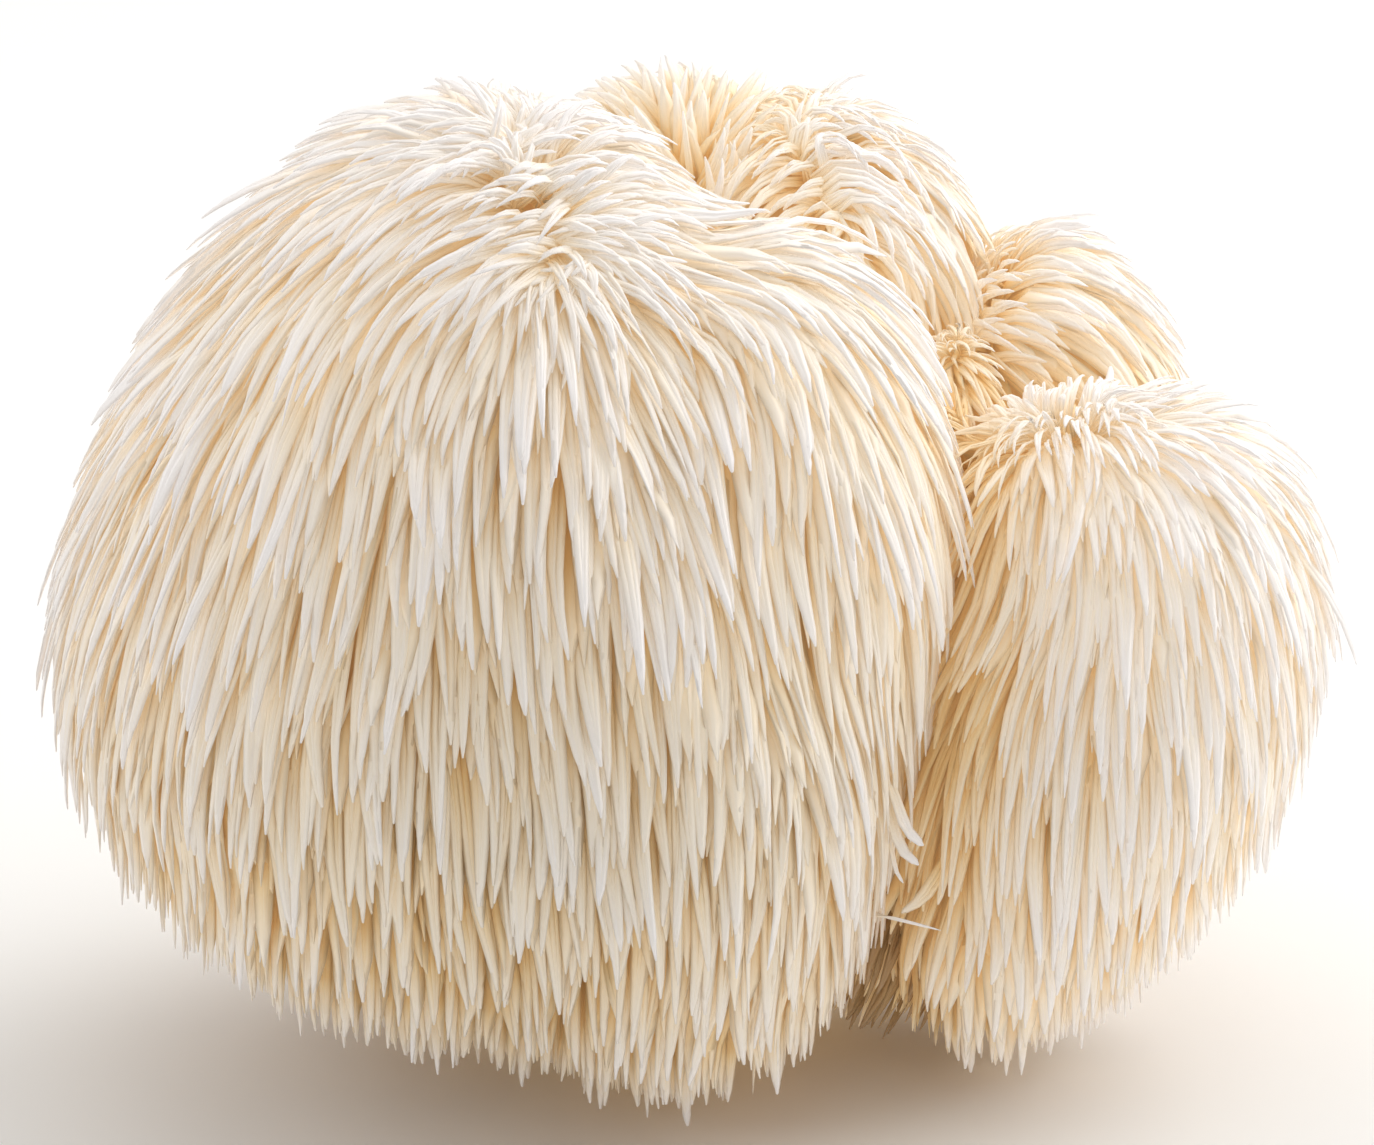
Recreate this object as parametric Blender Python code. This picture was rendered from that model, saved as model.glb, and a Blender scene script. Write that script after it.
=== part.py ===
"""Lion's mane mushroom cut from its log: a cluster of round lobes that carry long hanging spines,
on a short stub that is cut off flat. The whole mushroom is one solid, standing on the cut at z = 0.
The front, where the big lobe bulges, looks along -Y. Sizes are in metres.
"""
import math

import bmesh
import bpy
from mathutils import Euler, Vector

# Each lobe: name, centre, half sizes, lean about Y in degrees, how much wider it is at the bottom
# than at the top, the crown point that its spines run away from, and the number of spines on it.
# The half sizes reach the tips of the spines.
LOBES = (
    ("big_front", (-0.0225, -0.016, 0.0790), (0.0650, 0.062, 0.0755), 0, 0.18, "front", 150),
    ("front_shoulder", (0.020, -0.024, 0.088), (0.030, 0.040, 0.0485), 0, 0.0, "front", 36),
    ("front_belly", (0.003, -0.030, 0.0605), (0.040, 0.048, 0.0595), 0, 0.0, "front", 80),
    ("front_fringe", (0.008, -0.030, 0.027), (0.028, 0.038, 0.0245), 0, 0.0, "front", 30),
    ("rear_crown", (0.0283, 0.031, 0.1085), (0.0293, 0.031, 0.0333), 0, 0.0, "rear", 44),
    ("rear_crest", (0.0063, 0.034, 0.112), (0.0275, 0.024, 0.0353), 0, 0.0, "rear", 25),
    ("right_rear", (0.0660, 0.026, 0.0845), (0.0245, 0.027, 0.038), 0, 0.08, "right_rear", 34),
    ("right_front", (0.0697, -0.0155, 0.0544), (0.0338, 0.038, 0.0556), 21, 0.0, "right", 76),
    ("right_top", (0.068, -0.016, 0.084), (0.023, 0.026, 0.024), 0, 0.0, "right", 20),
    ("right_foot", (0.055, -0.025, 0.0265), (0.0175, 0.025, 0.025), 0, 0.0, "right", 16),
    ("small_knob", (0.050, 0.004, 0.092), (0.010, 0.012, 0.020), 0, 0.0, "knob", 8),
    ("low_heel", (0.0375, -0.009, 0.022), (0.0225, 0.027, 0.0205), 0, 0.0, "heel", 14),
    ("right_inner", (0.045, 0.000, 0.060), (0.019, 0.029, 0.047), 0, 0.0, "right", 22),
    ("back_low", (0.020, 0.024, 0.054), (0.044, 0.034, 0.050), 0, 0.0, "rear", 52),
)
CROWN_POINTS = {
    "front": (-0.012, -0.039, 0.149),
    "rear": (0.015, 0.014, 0.131),
    "right_rear": (0.050, 0.030, 0.115),
    "right": (0.0615, -0.017, 0.109),
    "knob": (0.046, 0.0015, 0.110),
    "heel": (0.083, -0.010, 0.050),
}

# The flesh lies this deep under the spine tips on the top and sides of a lobe, and deeper under it,
# where the spines hang free.
FLESH_DEPTH = 0.0052
HANGING_DEPTH = 0.0060
HANGING_SHARE = 0.3         # on a small lobe, not more than this share of its size
UNDERSIDE_START = 0.15      # how far below a lobe's middle its underside starts, and where it is full
UNDERSIDE_FULL = 0.90
FINE_LOBE_WIDTH = 0.025     # lobes with a larger half width have finer facets

SPINE_LENGTH = 0.034
SPINE_WIDTH = 0.0098
SPINE_THICKNESS = 0.0062
SPINE_SHARE = 0.85          # on a small lobe, a spine is not longer than this share of its size
SPINE_SPACING = 0.0090
ROOT_DEPTH = 0.004          # how far a spine's root runs into the flesh
MIDDLE_DEPTH = 0.0023       # how deep a spine's middle lies under the tips around it
ROOT_WIDTH = 0.75           # the root's width beside the middle's
SHORT_WIDTH = 0.55          # the least width of a short spine beside a long one's
LEAST_LIFT = 0.2            # a spine that stands straighter off its lobe has no outer side of its own

CROWN_REACH = 0.030         # nearer the crown point than this, spines are short and stand up
CROWN_LENGTH = 0.4          # the length of a spine at the crown point, beside a full one
CROWN_LIFT = 1.4            # how steeply the spines stand up at the crown point
BODY_LIFT = 0.12            # and how much they stand off everywhere
HANG_REACH = 0.9            # past this share of the lobe's width and height they hang straight down
FIRST_FALL = 0.25           # how much they already turn down before that

SEAM_LEVEL = 0.94           # a spine may dip this far into the next lobe's spines
FLOOR_GAP = 0.0008          # the lowest tips stay this far above the cut
CUT_CLEARANCE = 0.014       # spines of one set keep this far apart, so that they fuse on in one cut

STUB_RADII = (0.029, 0.024)
STUB_HEIGHT = 0.036
STUB_SIDES = 32
STUB_PROFILE = ((0.0, 1.0), (0.012, 0.97), (STUB_HEIGHT, 1.16))     # height and spread
STUB_FOLDS = ((3, 0.045, 0.6), (7, 0.03, 0.0))                      # folds round it, depth, turn
STUB_CLEARANCE = 0.006      # no spine ends nearer the stub than this

FLESH_COLOUR = (0.86, 0.74, 0.58, 1.0)
FLESH_ROUGHNESS = 0.6
NAME = "lions_mane_mushroom"


def clear_scene():
    for thing in list(bpy.data.objects):
        bpy.data.objects.remove(thing, do_unlink=True)


def working_collection(name, hidden):
    group = bpy.data.collections.new(name)
    bpy.context.scene.collection.children.link(group)
    group.hide_render = hidden
    return group


def flesh_material():
    flesh = bpy.data.materials.new("mushroom_flesh")
    flesh.use_nodes = True
    shader = flesh.node_tree.nodes["Principled BSDF"]
    shader.inputs["Base Color"].default_value = FLESH_COLOUR
    shader.inputs["Roughness"].default_value = FLESH_ROUGHNESS
    return flesh


class Lobe:
    """One rounded lobe, as an egg form whose surface is where the spine tips end."""

    def __init__(self, row):
        self.name = row[0]
        self.centre = Vector(row[1])
        self.radii = Vector(row[2])
        self.lean = Euler((0.0, math.radians(row[3]), 0.0)).to_matrix()
        self.flare = row[4]
        self.crown = Vector(CROWN_POINTS[row[5]])
        self.spines = row[6]
        self.size = sum(self.radii) / 3.0

    def flesh_depth(self, direction):
        under = (-direction.z - UNDERSIDE_START) / (UNDERSIDE_FULL - UNDERSIDE_START)
        under = max(0.0, min(1.0, under))
        return FLESH_DEPTH + min(HANGING_DEPTH, HANGING_SHARE * self.size) * under

    def point(self, direction, inset=0.0):
        girth = 1.0 - self.flare * direction.z
        x = direction.x * (self.radii.x * girth - inset)
        y = direction.y * (self.radii.y * girth - inset)
        z = direction.z * (self.radii.z - inset)
        return self.centre + self.lean @ Vector((x, y, z))

    def level(self, place):
        """Below 1 inside the lobe, 1 on its surface and above 1 outside."""
        local = self.lean.transposed() @ (place - self.centre)
        height = max(-1.0, min(1.0, local.z / self.radii.z))
        girth = 1.0 - self.flare * height
        x = local.x / (self.radii.x * girth)
        y = local.y / (self.radii.y * girth)
        z = local.z / self.radii.z
        return math.sqrt(x * x + y * y + z * z)

    def outward(self, place):
        local = self.lean.transposed() @ (place - self.centre)
        x = local.x / self.radii.x ** 2
        y = local.y / self.radii.y ** 2
        z = local.z / self.radii.z ** 2
        return (self.lean @ Vector((x, y, z))).normalized()

    def settled(self, place, depth):
        """The place brought in until it lies at least so deep under the spine tips."""
        spread = place - self.centre
        deepest = 1.0 - depth / spread.length
        level = self.level(place)
        if level <= deepest:
            return place
        return self.centre + spread * (deepest / level)

    def flow(self, place):
        """The way a spine points: away from the crown point at first, then down."""
        out = self.outward(place)
        away = place - self.crown
        distance = away.length
        away = (away - out * away.dot(out)).normalized()
        reach = min(1.0, distance / (HANG_REACH * (self.radii.x + self.radii.z)))
        hang = reach * reach * (3.0 - 2.0 * reach)
        way = away * (1.0 - hang) + Vector((0.0, 0.0, -1.0)) * (FIRST_FALL + hang)
        inward = way.dot(out)
        if inward < 0.0:
            way = way - out * inward
        upright = BODY_LIFT + CROWN_LIFT * max(0.0, 1.0 - distance / CROWN_REACH) ** 2
        return (way.normalized() + out * upright * (1.0 - hang)).normalized()

    def spine_length(self, tip):
        far = min(1.0, (tip - self.crown).length / CROWN_REACH)
        full = min(SPINE_LENGTH, SPINE_SHARE * self.size)
        return full * (CROWN_LENGTH + (1.0 - CROWN_LENGTH) * far)


def spiral_directions(count):
    """Evenly spread directions, set out on a golden-angle spiral."""
    golden = math.pi * (3.0 - math.sqrt(5.0))
    ways = []
    for i in range(count):
        z = 1.0 - 2.0 * (i + 0.5) / count
        ring = math.sqrt(1.0 - z * z)
        ways.append(Vector((ring * math.cos(golden * i), ring * math.sin(golden * i), z)))
    return ways


def lobe_object(lobe, group):
    """The faceted flesh of one lobe."""
    fineness = 3 if lobe.radii.x > FINE_LOBE_WIDTH else 2
    bpy.ops.mesh.primitive_ico_sphere_add(subdivisions=fineness, radius=1.0, location=(0, 0, 0))
    flesh = bpy.context.active_object
    flesh.name = lobe.name
    for vertex in flesh.data.vertices:
        direction = vertex.co.normalized()
        vertex.co = lobe.point(direction, lobe.flesh_depth(direction))
    move_to(flesh, group)
    return flesh


def stub_object(group):
    """The short base that held the mushroom to the wood, cut off flat at z = 0."""
    bm = bmesh.new()
    rings = []
    for height, spread in STUB_PROFILE:
        ring = []
        for i in range(STUB_SIDES):
            turn = 2.0 * math.pi * i / STUB_SIDES
            fold = sum(depth * math.sin(count * turn + start) for count, depth, start in STUB_FOLDS)
            x = STUB_RADII[0] * spread * (1.0 + fold) * math.cos(turn)
            y = STUB_RADII[1] * spread * (1.0 + fold) * math.sin(turn)
            ring.append(bm.verts.new((x, y, height)))
        rings.append(ring)
    for low, high in zip(rings, rings[1:]):
        for i in range(STUB_SIDES):
            j = (i + 1) % STUB_SIDES
            bm.faces.new((low[i], low[j], high[j], high[i]))
    bm.faces.new(list(reversed(rings[0])))
    bm.faces.new(rings[-1])
    return object_from(bm, "cut_stub", group)


def spine_path(lobe, tip):
    """Root, middle and tip of a spine, laid along the flow and bedded in the flesh."""
    length = lobe.spine_length(tip)
    depth = lobe.flesh_depth((tip - lobe.centre).normalized())
    middle = lobe.settled(tip - lobe.flow(tip) * length * 0.5, MIDDLE_DEPTH)
    root = lobe.settled(middle - lobe.flow(middle) * length * 0.5, depth + ROOT_DEPTH)
    return root, middle, tip


def outer_side(lobe, place, along):
    """Which way a spine's outer side faces. Under a lobe, that is away from the mushroom's middle."""
    out = lobe.outward(place)
    lift = out - along * out.dot(along)
    if lift.length < LEAST_LIFT:
        from_axis = Vector((place.x, place.y, 0.0))
        lift = from_axis - along * from_axis.dot(along)
    return lift.normalized()


def add_spine(bm, lobe, path):
    """One tapering spine with three sides, which ends in a point."""
    root, middle, tip = path
    along = (tip - root).normalized()
    fullness = SHORT_WIDTH + (1.0 - SHORT_WIDTH) * lobe.spine_length(tip) / SPINE_LENGTH
    lift = outer_side(lobe, middle, along)
    side = along.cross(lift)
    rings = []
    for place, scale in ((root, ROOT_WIDTH), (middle, 1.0)):
        half = SPINE_WIDTH / 2 * scale * fullness
        rise = SPINE_THICKNESS / 2 * scale
        corners = (place - side * half - lift * rise, place + side * half - lift * rise,
                   place + lift * rise * 0.5)
        rings.append([bm.verts.new(corner) for corner in corners])
    point = bm.verts.new(tip)
    low, high = rings
    bm.faces.new((low[2], low[1], low[0]))
    for i in range(3):
        j = (i + 1) % 3
        bm.faces.new((low[i], low[j], high[j]))
        bm.faces.new((low[i], high[j], high[i]))
        bm.faces.new((high[i], high[j], point))


def all_spine_paths(lobes):
    """A spine that would end inside another lobe or under the cut is left out."""
    paths = []
    for lobe in lobes:
        for direction in spiral_directions(lobe.spines):
            tip = lobe.point(direction)
            if tip.z < FLOOR_GAP or in_stub_shadow(tip):
                continue
            if any(other.level(tip) < SEAM_LEVEL for other in lobes if other is not lobe):
                continue
            if any((tip - path[2]).length < SPINE_SPACING for _, path in paths):
                continue
            paths.append((lobe, spine_path(lobe, tip)))
    return paths


def beads(path):
    """Places spaced along a spine, for telling how near another one comes."""
    root, middle, tip = path
    inner = [root.lerp(middle, step / 2) for step in range(2)]
    return inner + [middle.lerp(tip, step / 3) for step in range(4)]


def close_together(path, other):
    return any((a - b).length < CUT_CLEARANCE for a in beads(path) for b in beads(other))


def spine_groups(paths):
    """Sets of spines that stay clear of each other, so that each set fuses on in one cut."""
    groups = []
    for lobe, path in paths:
        for group in groups:
            if not any(close_together(path, other) for _, other in group):
                group.append((lobe, path))
                break
        else:
            groups.append([(lobe, path)])
    return groups


def spine_object(spines, group):
    bm = bmesh.new()
    for lobe, path in spines:
        add_spine(bm, lobe, path)
    return object_from(bm, "hanging_spines", group)


def in_stub_shadow(tip):
    x = tip.x / (STUB_RADII[0] + STUB_CLEARANCE)
    y = tip.y / (STUB_RADII[1] + STUB_CLEARANCE)
    return tip.z < STUB_HEIGHT and x * x + y * y < 1.0


def object_from(bm, name, group):
    bmesh.ops.recalc_face_normals(bm, faces=bm.faces)
    mesh = bpy.data.meshes.new(name)
    bm.to_mesh(mesh)
    bm.free()
    thing = bpy.data.objects.new(name, mesh)
    group.objects.link(thing)
    return thing


def move_to(thing, group):
    for old in list(thing.users_collection):
        old.objects.unlink(thing)
    group.objects.link(thing)


def as_cutter(thing):
    thing.hide_render = True
    thing.display_type = "WIRE"


def fuse(body, added, solver="EXACT"):
    """Join one object into the body so that they are one closed solid. With so many spines the exact
    solver leaves open edges, so they are joined with the manifold one."""
    join = body.modifiers.new("join " + added.name, "BOOLEAN")
    join.operation = "UNION"
    join.solver = solver
    join.object = added
    bpy.context.view_layer.objects.active = body
    bpy.ops.object.modifier_apply(modifier=join.name)
    as_cutter(added)


def drop_inner_pockets(bm):
    """Keep the outer skin only, so that no closed pocket stays inside the flesh."""
    unseen = set(bm.verts)
    skins = []
    while unseen:
        skin = [unseen.pop()]
        for vertex in skin:
            for edge in vertex.link_edges:
                other = edge.other_vert(vertex)
                if other in unseen:
                    unseen.remove(other)
                    skin.append(other)
        skins.append(skin)
    skins.sort(key=len)
    for skin in skins[:-1]:
        bmesh.ops.delete(bm, geom=skin, context="VERTS")


def tidy(body):
    bm = bmesh.new()
    bm.from_mesh(body.data)
    drop_inner_pockets(bm)
    bmesh.ops.triangulate(bm, faces=bm.faces)
    bm.to_mesh(body.data)
    bm.free()
    for face in body.data.polygons:
        face.use_smooth = True


def build():
    clear_scene()
    kept = working_collection(NAME, False)
    working = working_collection("cutters", True)
    lobes = [Lobe(row) for row in LOBES]
    body = lobe_object(lobes[0], kept)
    for lobe in lobes[1:]:
        fuse(body, lobe_object(lobe, working))
    fuse(body, stub_object(working))
    for spines in spine_groups(all_spine_paths(lobes)):
        fuse(body, spine_object(spines, working), "MANIFOLD")
    body.name = NAME
    body.data.name = NAME
    body.data.materials.clear()
    body.data.materials.append(flesh_material())
    tidy(body)


build()
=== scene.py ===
"""Lion's mane mushroom on a pale studio floor.

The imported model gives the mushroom's size and where it rests. Over a lumpy core of flesh this script
grows the soft hanging spines, in locks of a few strands each, lobe by lobe. Lengths are in metres.
"""
import math

import bpy
import numpy as np
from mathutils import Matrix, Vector


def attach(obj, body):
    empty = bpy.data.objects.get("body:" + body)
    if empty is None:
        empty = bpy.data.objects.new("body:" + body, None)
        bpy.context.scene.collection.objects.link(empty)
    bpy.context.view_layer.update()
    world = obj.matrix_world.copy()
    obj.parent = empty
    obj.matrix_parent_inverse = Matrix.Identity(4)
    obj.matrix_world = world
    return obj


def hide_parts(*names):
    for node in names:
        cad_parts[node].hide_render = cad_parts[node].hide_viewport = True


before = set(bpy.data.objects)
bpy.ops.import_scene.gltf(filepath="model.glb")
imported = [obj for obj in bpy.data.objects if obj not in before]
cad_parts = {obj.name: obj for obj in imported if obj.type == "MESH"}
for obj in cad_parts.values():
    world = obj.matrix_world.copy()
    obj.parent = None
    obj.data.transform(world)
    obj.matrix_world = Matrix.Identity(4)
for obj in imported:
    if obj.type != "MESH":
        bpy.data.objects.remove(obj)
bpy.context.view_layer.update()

MM = 0.001
NODE = "lions_mane_mushroom"

# The lobes in millimetres, as in the part's source: the centre, the half sizes out to the spine tips,
# the lean about Y in degrees, and how much wider the lobe is low down. Then how far from the crown the
# spines turn to hang straight down, how steeply they stand off the lobe, how wide the locks of spines
# are, and how many locks grow on a whole lobe.
LOBES = {
    "big_front": ((-22.5, -16, 79.0), (65.0, 62, 75.5), 0, 0.18, 56, 0.0, 0.95, 2760),
    "front_shoulder": ((20, -24, 88), (30, 40, 48.5), 0, 0.0, 56, 0.0, 0.95, 690),
    "front_belly": ((3, -30, 60.5), (40, 48, 59.5), 0, 0.0, 56, 0.0, 0.90, 1400),
    "front_fringe": ((8, -30, 27), (28, 38, 24.5), 0, 0.0, 56, 0.0, 0.85, 480),
    "rear_crown": ((28.3, 31, 108.5), (29.3, 31, 33.3), 0, 0.0, 20, 0.0, 1.0, 600),
    "rear_crest": ((6.3, 34, 112), (27.5, 24, 35.3), 0, 0.0, 90, 0.25, 0.95, 460),
    "back_low": ((20, 24, 54), (44, 34, 50), 0, 0.0, 60, 0.0, 1.0, 700),
    "right_rear": ((66, 26, 84.5), (24.5, 27, 38), 0, 0.08, 50, 0.0, 1.0, 460),
    "right_front": ((69.7, -15.5, 54.4), (33.8, 38, 55.6), 21, 0.0, 50, 0.0, 0.87, 1450),
    "right_top": ((68, -16, 84), (23, 26, 24), 0, 0.0, 50, 0.0, 0.85, 470),
    "right_inner": ((45, 0, 60), (19, 29, 47), 0, 0.0, 60, 0.0, 0.9, 400),
    "right_foot": ((55, -25, 26.5), (17.5, 25, 25), 0, 0.0, 60, 0.0, 0.9, 230),
    "small_knob": ((50, 4, 92), (10, 12, 20), 0, 0.0, 60, 0.1, 0.6, 180),
    "low_heel": ((37.5, -9, 22), (22.5, 27, 20.5), 0, 0.0, 110, 0.0, 0.7, 420),
}
# Lobes that run together into one head share a crown: the two ends of the line that their spines run
# away from, how far from it the spines arch up and cross each other, and how much painted shade the
# neighbouring heads cast where they are near.
HEADS = {
    "front_head": (("big_front", "front_shoulder", "front_belly", "front_fringe"),
                   (-14, -34.5, 150), (-7.5, -46, 142), 42, 0.04),
    "rear_head": (("rear_crown", "back_low"), (24, 20, 141), (31.5, 7.5, 129), 34, 0.55),
    "crest_head": (("rear_crest",), (5, 17, 121), (9, 19, 124), 26, 0.4),
    "right_rear_head": (("right_rear",), (52, 28, 116), (49, 14, 108), 26, 0.5),
    "right_head": (("right_front", "right_top", "right_inner", "right_foot"),
                   (57, -18, 107), (69, -20, 110), 26, 0.9),
    "small_knob_head": (("small_knob",), (46, 1.5, 112), (50, 3, 112), 10, 0.6),
    "low_heel_head": (("low_heel",), (83, -10, 50), (83, -10, 50), 10, 0.6),
}
HEEL = "low_heel_head"
# Locks given one by one: how wide each is and the way it takes. Those of the rear head lie across its
# crown, and the others stick out of the crease at the right of the big head.
STRAYS = {
    "front_head": (
        (0.85, ((36, -44, 62), (38.6, -49, 56.6), (40.5, -50.5, 51.5), (43, -51, 49))),
        (0.85, ((35.5, -45, 60), (38, -49.5, 54), (39.7, -50.5, 48.3), (42.3, -51, 45.8))),
        (0.60, ((36.5, -45, 53), (38.4, -48.5, 47.7), (39, -49.5, 44.5), (40.2, -50, 42.3))),
        (0.50, ((32, -42, 35.5), (35.5, -45, 35.4), (40.5, -46.5, 34.7), (46, -47.5, 33.6)))),
    "rear_head": (
        (0.70, ((27, 16, 134.5), (31, 16, 137), (36.5, 16.5, 136), (42, 17.5, 132))),
        (0.75, ((27.5, 14, 133), (31, 13.5, 135.6), (36, 13.5, 134.8), (41.5, 14, 131))),
        (0.65, ((28, 12.5, 132), (31.5, 12, 134.8), (36.5, 12, 133.6), (41.5, 13, 129.8))),
        (0.75, ((28.5, 11, 131), (32, 10.5, 133.8), (37, 10.5, 132.6), (42.5, 11, 128.2))),
        (0.70, ((30, 9, 129), (33.5, 8.5, 131.8), (38, 8.5, 130.6), (43, 9.5, 126)))),
    "right_head": (
        (0.85, ((49, -42, 46.5), (45.7, -44, 41.2), (43, -45, 37.6), (40.2, -45.5, 35.6))),),
}
SEAM_FILLET = 0.05              # how softly the lobes of one head run together
SLOPE_STEP = 0.3 * MM           # the step that a head's slope is measured over

# Where the locks end
FIRST_SEED = 40
TIP_SCATTER = 0.75              # how far the tips stray from an even spread, beside their spacing
OWN_LOBE = 0.985                # a lock ends no deeper than this in the lobes that its own runs into
TIPS_OUT = 0.7 * MM             # how unevenly the locks end, outwards and inwards
TIPS_IN = 0.9 * MM
LOOSE_SHARE = 0.08              # this share of the tips stand off by up to LOOSE_TIPS more
LOOSE_TIPS = 2.8 * MM
SEAM_OVERLAP = 6 * MM           # how far under the next head's spine tips a lock may end
FLOOR_GAP = 0.6 * MM
STUB_CLEARANCE = 4 * MM

# Near a crown, where the locks are fine and close, arch up and cross each other
CROWN_START = 0.42              # the least nearness to a crown that counts as near
CROWN_CLOSENESS = 2.1           # how many locks grow there for each one elsewhere
CROWN_WIDTH = 0.68              # how wide they are there, beside a lock elsewhere
BARE_CROWN = 0.10               # no lock ends nearer to the crown than this share of its reach
CROWN_CORE = 12 * MM            # the middle of a crown, where tufts of locks cross each other most, and
OUTER_CROSSING = 0.4            # how much of that crossing is left well outside it
CROWN_CROSSING = 0.10           # how far a tuft starts beside the crown's line, beside its reach
CROWN_SCATTER = 1.6 * MM        # and how far each lock of it
TUFT_SIZE = 16 * MM
TUFT_SEED = 11
ARCH_RISE = 0.08                # how high the locks arch, as a share of the crown's reach
ARCH_RANGE = (0.2, 1.2)         # the least and the most of that
ARCH_LEAN = 0.7                 # below 1, the arch is highest nearer the tip
FIRST_FALL = 0.12               # how much the locks already turn down at the crown

# Locks that lean together in bundles
BUNDLE = 7                      # about how many locks a bundle has
FEWEST_BUNDLES = 8
BUNDLE_DRAW = 0.32              # how strongly they lean together, and the least and the most of that
DRAW_RANGE = (0.5, 1.2)
BUNDLE_SCATTER = 1.8 * MM
BUNDLE_RISE = 0.9 * MM          # how unevenly the bundles stand out
CROWN_CALM = 0.6                # how much less of both there is at a crown
UNDERSIDE_CALM = 1.2            # how fast they get more even towards an underside, and the least that
UNDERSIDE_RISE = 0.3            # is left

# The way of a lock from its tip back to its root
LOCK_STEPS = 8
LENGTH_RANGE = (0.75, 1.2)      # the shortest and the longest lock beside a usual one
CROWN_ROOM = 0.82               # how much of the way from the crown a lock may take up
SHORTEST_LOCK = 1.5 * MM
DEEPEST_ROOT = 0.40             # on a small lobe, roots aren't deeper than this share of its size
CROWN_BURY = 0.3                # how much less deep the roots are at a crown
FREE_START = 0.12               # a lock that leans out more than this begins to hang free of the lobe,
FREE_SPREAD = 0.3               # and after this much more it hangs wholly free
SHORT_SHARE = 0.4               # a short lock is slimmer, down to one of this share of a full length,
SHORT_SLIMNESS = 0.3            # by this power
SWAY_SIZE = 28 * MM
SWAY_SEED = 5
WAVES = 6                       # how many waves make up a wandering value, how much their sizes differ,
WAVE_SIZES = (0.7, 1.6)         # and what brings their sum to about -1 to 1
WAVES_HEIGHT = 2.4
# How much of each there is everywhere, and how much more at a crown
OWN_SWAY = (0.035, 0.12)        # each lock bends sideways
SHARED_SWAY = (0.06, 0.15)      # neighbouring locks bend together
CURL = (0.08, 0.16)             # a lock curls towards its tip
ROOT_DIVE = (1.2, 1.8)          # how late a lock dives down to its root

# The strands of a lock
LOCK_FULLNESS = (0.65, 1.15)
LOCK_ROLL = 0.15
LOCK_TWIST = 0.35
STRAND_STRAY = 0.12             # how unevenly the strands lie side by side, in spacings
STRAND_RISE = 0.22              # and over each other, in thicknesses
STRAND_WIDTHS = (0.85, 1.15)
STRAND_SHORTER = 0.10
LOOK_AHEAD = 0.05
LEVEL_FACING = 0.5              # how much a strand's flat side faces out level, not square to the lobe
ROOT_POINT = 0.2                # how long the pointed ends are, in widths
TIP_POINT = 0.1
STRAND_SIDES = 4
MOST_SPINES_IN_A_PIECE = 4000
MAP_MARGIN = 0.06


class Coat:
    """How one layer of locks is made. A lock is a few spines that run together towards the tip."""

    def __init__(self, name, long, bury, sunk, strands, spacing, width, flat, rings):
        self.name = name
        self.long = long * MM           # from root to tip
        self.bury = bury * MM           # how deep the root lies under the spine tips
        self.sunk = sunk * MM           # how deep the tip lies
        self.strands = strands
        self.spacing = spacing * MM
        self.width = width * MM
        self.flat = flat                # how thick a strand is beside its width
        self.rings = rings              # a place from 0 at the root to 1 at the tip, spread and width


OUTER_COAT = Coat("spines", 34, 7.0, 0.0, 3, 0.98, 1.50, 0.52,
                  ((0.0, 1.0, 0.8), (0.32, 1.0, 1.0), (0.58, 0.80, 1.0), (0.76, 0.46, 0.95),
                   (0.93, 0.17, 0.78), (1.0, 0.03, 0.30)))
UNDER_COAT = Coat("under_spines", 28, 8.0, 2.0, 1, 0.0, 3.8, 0.30,
                  ((0.0, 0.0, 0.9), (0.45, 0.0, 1.0), (0.80, 0.0, 0.66), (1.0, 0.0, 0.10)))

# The flesh under the spines
FLESH_SEGMENTS = 48
FLESH_RINGS = 32
FLESH_INSET = 9.5 * MM          # how deep it lies, and how much deeper where the spines hang free
FLESH_HANG_INSET = 14 * MM
INSET_SHARE = 0.35              # on a small lobe, not more than these shares of its size
HANG_INSET_SHARE = 0.3
UNDERSIDE_START = 0.05          # how far down a lobe its underside starts, and over how much more of
UNDERSIDE_SPREAD = 0.8          # the way it becomes full
FLESH_VOXEL = 1.8 * MM
SOFTENING = 0.5
SOFTENING_ROUNDS = 6
SHARP_EDGE = 50
STUB_RADII = (29 * MM, 24 * MM)
STUB_HEIGHT = 36 * MM
STUB_SPARE = 8 * MM             # how much longer the stub is before it is cut
STUB_TOP = 1.12                 # how wide it is at the top beside the bottom
STUB_SIDES = 48
STUB_FOLDS = ((3.0, 0.045, 0.6), (7.0, 0.03, 0.0))      # folds round it, their depth and turn

# The light that the real flesh lets through, painted on as an even faint glow: its strength, and its colour
# deep between the spines and at their tips
PAINTED_GLOW_STRENGTH = 0.205
DEEP_PAINTED_GLOW = (1.0, 0.72, 0.36, 1.0)
TIP_PAINTED_GLOW = (1.0, 0.90, 0.82, 1.0)
NO_LIGHT = (0.0, 0.0, 0.0, 1.0)
DULL_PLACE = (-17 * MM, 58 * MM)            # where the painted light is least, how far right and how high
LIT_BESIDE = 5.4                            # how fast the painted light grows away from there
LIT_ABOVE = 6.0
LEAST_LIT = 0.11
DARKEST_SHADE_DEPTH = 7.5 * MM                       # this deep between the spines the painted shade is darkest
CREASE_WIDTH = 0.4                          # how far from another head its painted shade falls, in half sizes
SHADED_FLESH = (0.44, 0.26, 0.11, 1.0)      # painted shade in the crease at the bottom, where light hardly comes
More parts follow.
